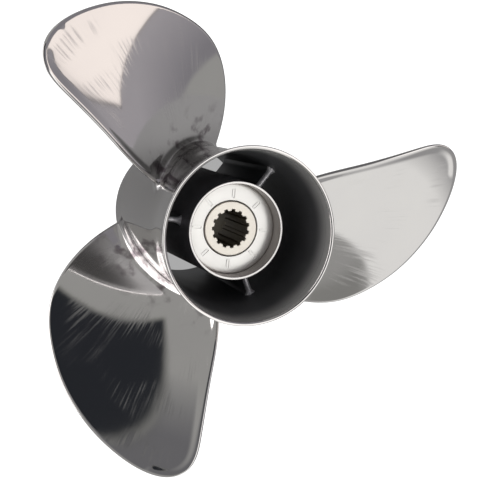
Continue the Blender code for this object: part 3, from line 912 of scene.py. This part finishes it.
def make_rib(number):
    """A cast plate with a rounded aft edge that flares a little into the tube and the barrel."""
    turn = FIRST_RIB_ANGLE + (number - 1) * math.tau / BLADE_COUNT
    shape = bmesh.new()
    heights = np.linspace(RIB_FORWARD, RIB_AFT, 24)
    shares = np.linspace(0, 1, 17)
    outline = []
    for t in np.linspace(0, math.pi, 9):
        outline.append((math.cos(t) * RIB_THICKNESS / 2, RIB_AFT - 0.002 + math.sin(t) * 0.002))
    for t in np.linspace(math.pi, math.tau, 9):
        outline.append((math.cos(t) * RIB_THICKNESS / 2, RIB_FORWARD + 0.002 + math.sin(t) * 0.002))
    rings = []
    for share in shares:
        ring = []
        swell = 1 + 0.9 * max(0, 1 - share / 0.22) ** 2 + 0.9 * max(0, 1 - (1 - share) / 0.22) ** 2
        for offset, height in outline:
            inner = float(tube_radius(height)) - 0.0001
            outer = float(barrel_bore(height)) + 0.0001
            reach = lerp(inner, outer, share)
            y = offset * swell
            x = math.sqrt(max(reach**2 - y**2, 0))
            ring.append(shape.verts.new((x, y, height + FORWARD_END)))
        rings.append(ring)
    for near, far in zip(rings, rings[1:]):
        for k in range(len(outline)):
            n = (k + 1) % len(outline)
            shape.faces.new((near[k], near[n], far[n], far[k]))
    shape.faces.new(rings[0])
    shape.faces.new(list(reversed(rings[-1])))
    bmesh.ops.remove_doubles(shape, verts=shape.verts, dist=1e-6)
    bmesh.ops.recalc_face_normals(shape, faces=shape.faces)
    bmesh.ops.rotate(shape, verts=shape.verts, matrix=Matrix.Rotation(turn, 3, "Z"))
    mesh = bpy.data.meshes.new(f"rib_{number}_cast")
    shape.to_mesh(mesh)
    shape.free()
    mesh.shade_smooth()
    mesh.set_sharp_from_angle(angle=math.radians(50))
    mesh.materials.append(PASSAGE_STEEL)
    mesh.materials.append(RIB_EDGE_PAINTED_HIGHLIGHT)
    for face in mesh.polygons:
        # The rounded aft edge takes the pale steel, a painted highlight.
        face.material_index = int(face.center.z - FORWARD_END > RIB_AFT - 0.0021)
    rib = bpy.data.objects.new(f"rib_{number}_cast", mesh)
    bpy.context.scene.collection.objects.link(rib)
    seat(rib, "cast_steel", f"rib_{number}")


# Pale steel for the ribs' aft edges: a painted highlight.
RIB_EDGE_PAINTED_HIGHLIGHT = cast_steel("rib_edge_painted_highlight_steel", (0.66, 0.64, 0.67), (0.85, 0.84, 0.86), 0.24)[0]
make_tube()
for rib_number in range(1, BLADE_COUNT + 1):
    make_rib(rib_number)

# Pressed-in bushing: black rubber between the tube and the sleeve, closed aft by a satin ring with eight pressed
# marks. The pale bronze sleeve in the middle is broached with fifteen grooves for the shaft.
BUSHING_FORWARD = 0.030
BUSHING_FACE = 0.1131
END_RING_THICKNESS = 0.004
END_RING_BORE = 0.0186
RUBBER_BORE = 0.0183
MARK_COUNT = 8
MARK_RADIUS = 0.0233
MARK_LENGTH = 0.0064
MARK_WIDTH = 0.0022
MARK_GROOVE = 0.00045
MARK_DEPTH = 0.0006
FIRST_MARK_ANGLE = math.radians(-25.0)
SLEEVE_FORWARD = 0.024
SLEEVE_AFT = 0.1136
SLEEVE_RADIUS = 0.0180
SPLINE_TEETH = 15
SPLINE_MAJOR = 0.0127
SPLINE_MINOR = 0.0114
SPLINE_BORE = 0.0130
SPLINE_FORWARD = SLEEVE_AFT - 0.047
FIRST_GROOVE_ANGLE = math.radians(-10.6)


def plain_material(name, color, roughness, metallic):
    material, tree, shader = new_material(name)
    place = tree.nodes.new("ShaderNodeTexCoord").outputs["Object"]
    clouds = tree.nodes.new("ShaderNodeTexNoise")
    clouds.inputs["Scale"].default_value = 180
    clouds.inputs["Detail"].default_value = 5
    tree.links.new(place, clouds.inputs["Vector"])
    dark = tuple(0.9 * channel for channel in color)
    tree.links.new(mix_color(tree, clouds.outputs["Fac"], dark, color), shader.inputs["Base Color"])
    dull = math_node(tree, "MULTIPLY_ADD", clouds.outputs["Fac"], 0.1)
    dull.node.inputs[2].default_value = roughness
    tree.links.new(dull, shader.inputs["Roughness"])
    shader.inputs["Metallic"].default_value = metallic
    return material


def make_rubber():
    outer = TUBE_BORE - 0.0001
    top = BUSHING_FACE - END_RING_THICKNESS
    corners = [(outer, top, 0), (outer, BUSHING_FORWARD, 0.001), (RUBBER_BORE, BUSHING_FORWARD, 0.001), (RUBBER_BORE, top, 0)]
    rubber = turned("rubber_cushion", rounded_profile(corners))
    rubber.data.materials.append(plain_material("black_rubber_moulded", (0.03, 0.03, 0.03), 0.7, 0))
    seat(rubber, "black_rubber", "bushing_rubber")


def mark_cutter():
    """Grooves that run round each of the long marks, as one cutting shape."""
    shape = bmesh.new()
    turns = np.linspace(-math.pi / 2, math.pi / 2, 9)
    half = (MARK_LENGTH - MARK_WIDTH) / 2
    for number in range(MARK_COUNT):
        angle = FIRST_MARK_ANGLE + number * math.tau / MARK_COUNT
        loops = []
        for inset in (0, MARK_GROOVE):
            radius = MARK_WIDTH / 2 - inset
            ends = [(half + radius * math.cos(t), radius * math.sin(t)) for t in turns]
            loop = ends + [(-x, -y) for x, y in ends]
            for lift in (-MARK_DEPTH, MARK_DEPTH):
                ring = []
                for x, y in loop:
                    x += MARK_RADIUS
                    place = (x * math.cos(angle) - y * math.sin(angle), x * math.sin(angle) + y * math.cos(angle))
                    ring.append(shape.verts.new((*place, FORWARD_END + BUSHING_FACE + lift)))
                loops.append(ring)
        low_out, high_out, low_in, high_in = loops
        for near, far in ((low_out, high_out), (high_out, high_in), (high_in, low_in), (low_in, low_out)):
            for k in range(len(near)):
                n = (k + 1) % len(near)
                shape.faces.new((near[k], near[n], far[n], far[k]))
    bmesh.ops.recalc_face_normals(shape, faces=shape.faces)
    mesh = bpy.data.meshes.new("mark_cutter")
    shape.to_mesh(mesh)
    shape.free()
    cutter = bpy.data.objects.new("mark_cutter", mesh)
    bpy.context.scene.collection.objects.link(cutter)
    return cutter


def make_end_ring():
    outer = TUBE_BORE - 0.0001
    foot = BUSHING_FACE - END_RING_THICKNESS
    corners = [
        (outer, BUSHING_FACE - 0.0002, 0.0016),
        (outer, foot, 0),
        (END_RING_BORE, foot, 0),
        (END_RING_BORE, BUSHING_FACE, 0.0004),
    ]
    ring = turned("end_ring_satin", rounded_profile(corners))
    cutter = mark_cutter()
    cut = ring.modifiers.new("marks", "BOOLEAN")
    cut.object = cutter
    cut.solver = "EXACT"
    whole = ring.evaluated_get(bpy.context.evaluated_depsgraph_get())
    ring.modifiers.clear() if whole is None else None
    marked = bpy.data.meshes.new_from_object(whole)
    ring.modifiers.clear()
    ring.data = marked
    bpy.data.objects.remove(cutter)
    marked.set_sharp_from_angle(angle=math.radians(40))
    marked.materials.clear()
    marked.materials.append(plain_material("satin_silver_plate", (0.95, 0.94, 0.92), 0.27, 0.8))
    seat(ring, "satin_silver", "bushing_end_ring")


def make_sleeve():
    outline = []
    samples = 24
    for step in range(SPLINE_TEETH * samples):
        turn = math.tau * step / (SPLINE_TEETH * samples)
        phase = (turn * SPLINE_TEETH / math.tau) % 1
        near = min(phase, 1 - phase)
        depth = max(0.0, min(1.0, (0.29 - near) / 0.09))
        depth = depth * depth * (3 - 2 * depth)
        outline.append((lerp(SPLINE_MINOR, SPLINE_MAJOR, depth), FIRST_GROOVE_ANGLE + turn))
    shape = bmesh.new()
    rings = []
    bore = [(SPLINE_BORE, turn) for _, turn in outline]
    skin = [(SLEEVE_RADIUS, turn) for _, turn in outline]
    runs = (
        (outline, SLEEVE_AFT, 0.0004),
        (outline, SLEEVE_AFT - 0.0005, 0),
        (outline, SPLINE_FORWARD, 0),
        (bore, SPLINE_FORWARD, 0),
        (bore, SLEEVE_FORWARD, 0),
        (skin, SLEEVE_FORWARD, -0.0005),
        (skin, SLEEVE_FORWARD + 0.0005, 0),
        (skin, SLEEVE_AFT - 0.0005, 0),
        (skin, SLEEVE_AFT, -0.0005),
    )
    for line, height, shift in runs:
        ring = [((r + shift) * math.cos(a), (r + shift) * math.sin(a), height + FORWARD_END) for r, a in line]
        rings.append([shape.verts.new(point) for point in ring])
    for number, near in enumerate(rings):
        far = rings[(number + 1) % len(rings)]
        for k in range(len(outline)):
            n = (k + 1) % len(outline)
            shape.faces.new((near[k], near[n], far[n], far[k]))
    bmesh.ops.recalc_face_normals(shape, faces=shape.faces)
    mesh = bpy.data.meshes.new("splined_sleeve_bronze")
    shape.to_mesh(mesh)
    shape.free()
    mesh.shade_smooth()
    mesh.set_sharp_from_angle(angle=math.radians(35))
    mesh.materials.append(plain_material("pale_bronze_machined", (0.95, 0.90, 0.82), 0.27, 0.7))
    mesh.materials.append(plain_material("brown_spline_bronze", (0.27, 0.235, 0.18), 0.4, 0.6))
    mesh.materials.append(plain_material("brown_bore_bronze", (0.55, 0.50, 0.40), 0.5, 0.4))
    for face in mesh.polygons:
        reach = math.hypot(face.center.x, face.center.y)
        height = face.center.z - FORWARD_END
        if reach < SPLINE_BORE + 0.0001 and height < SLEEVE_AFT - 0.0005:
            face.material_index = 1 if height > SPLINE_FORWARD else 2
    sleeve = bpy.data.objects.new("splined_sleeve_bronze", mesh)
    bpy.context.scene.collection.objects.link(sleeve)
    seat(sleeve, "pale_bronze", "splined_sleeve")


make_rubber()
make_end_ring()
make_sleeve()
